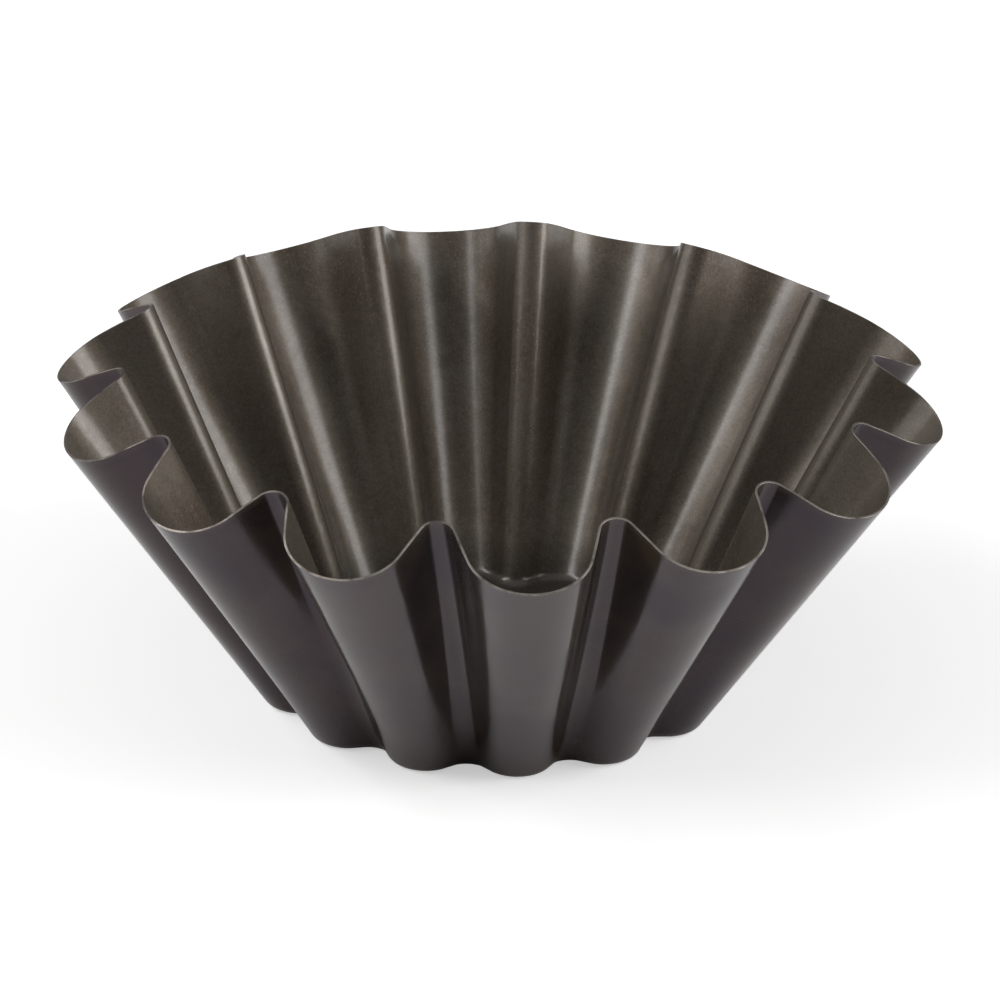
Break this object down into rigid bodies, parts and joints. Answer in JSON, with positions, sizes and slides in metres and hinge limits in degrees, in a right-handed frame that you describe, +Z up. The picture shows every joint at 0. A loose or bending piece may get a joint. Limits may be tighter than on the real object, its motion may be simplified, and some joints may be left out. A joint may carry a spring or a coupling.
{
  "type": "brioche mould",
  "caption": "Fluted round baking mould: flat base, tall flared wall of large rounded flutes, and a raw wavy rim whose inward folds stand higher than its lobes.",
  "frame": {"origin": "middle of the flat base, on the face the mould stands on", "axes": "+Z up out of the open mouth, along the axis of the flutes; +X through the crest of one lobe"},
  "size_m": [0.22, 0.2154, 0.0846],
  "materials": {
    "coated_steel": "satin"
  },
  "bodies": {
    "root": {"mould_shell": "coated_steel"}
  },
  "joints": []
}
